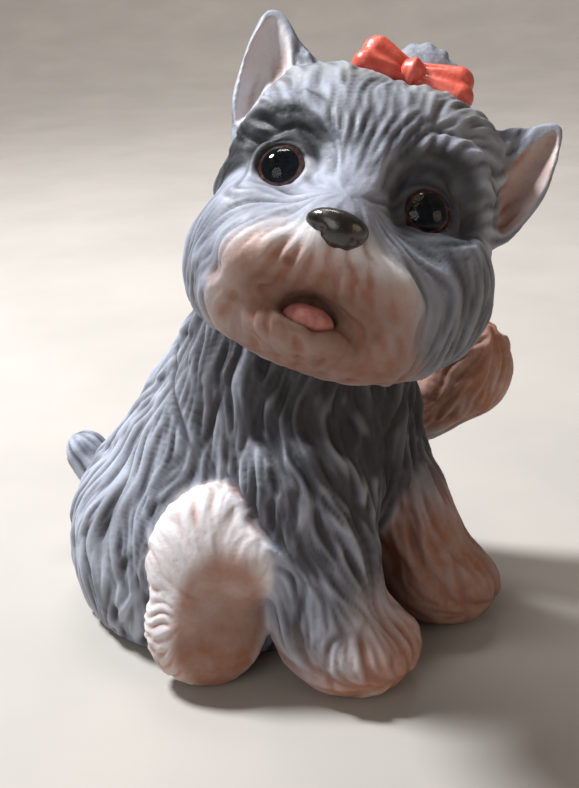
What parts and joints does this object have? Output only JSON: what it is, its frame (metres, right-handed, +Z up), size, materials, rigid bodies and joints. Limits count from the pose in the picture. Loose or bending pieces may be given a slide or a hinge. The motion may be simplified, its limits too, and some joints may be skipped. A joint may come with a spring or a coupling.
{
  "type": "ceramic dog figurine",
  "caption": "Sitting bisque puppy, head cocked and turned, one hind paw raised to scratch its ear, bow on the crown, flat underside.",
  "frame": {"origin": "on the flat underside, below the front of the seat", "axes": "+Z up, the chest and front paws face -Y, the animal's own left side is +X"},
  "size_m": [0.0829, 0.1106, 0.1175],
  "materials": {
    "bisque": "unglazed, airbrushed grey with white paws, muzzle and inner ears",
    "red_glaze": "satin",
    "nose_glaze": "gloss",
    "tongue_paint": "satin",
    "eye_glass": "clear, polished",
    "iris_paint": "painted disc under the dome",
    "pupil_paint": "painted disc under the dome"
  },
  "bodies": {
    "root": {"body_casting": "bisque", "head_casting": "bisque", "right_ear": "bisque", "left_ear": "bisque", "right_front_leg": "bisque", "left_front_leg": "bisque", "right_hind_leg": "bisque", "left_hind_leg": "bisque", "tail": "bisque", "topknot": "bisque", "bow_right_loop": "red_glaze", "bow_left_loop": "red_glaze", "bow_knot": "red_glaze", "ribbon_band": "red_glaze", "nose": "nose_glaze", "tongue": "tongue_paint", "right_eye_lens": "eye_glass", "left_eye_lens": "eye_glass", "right_iris": "iris_paint", "left_iris": "iris_paint", "right_pupil": "pupil_paint", "left_pupil": "pupil_paint"}
  },
  "joints": []
}
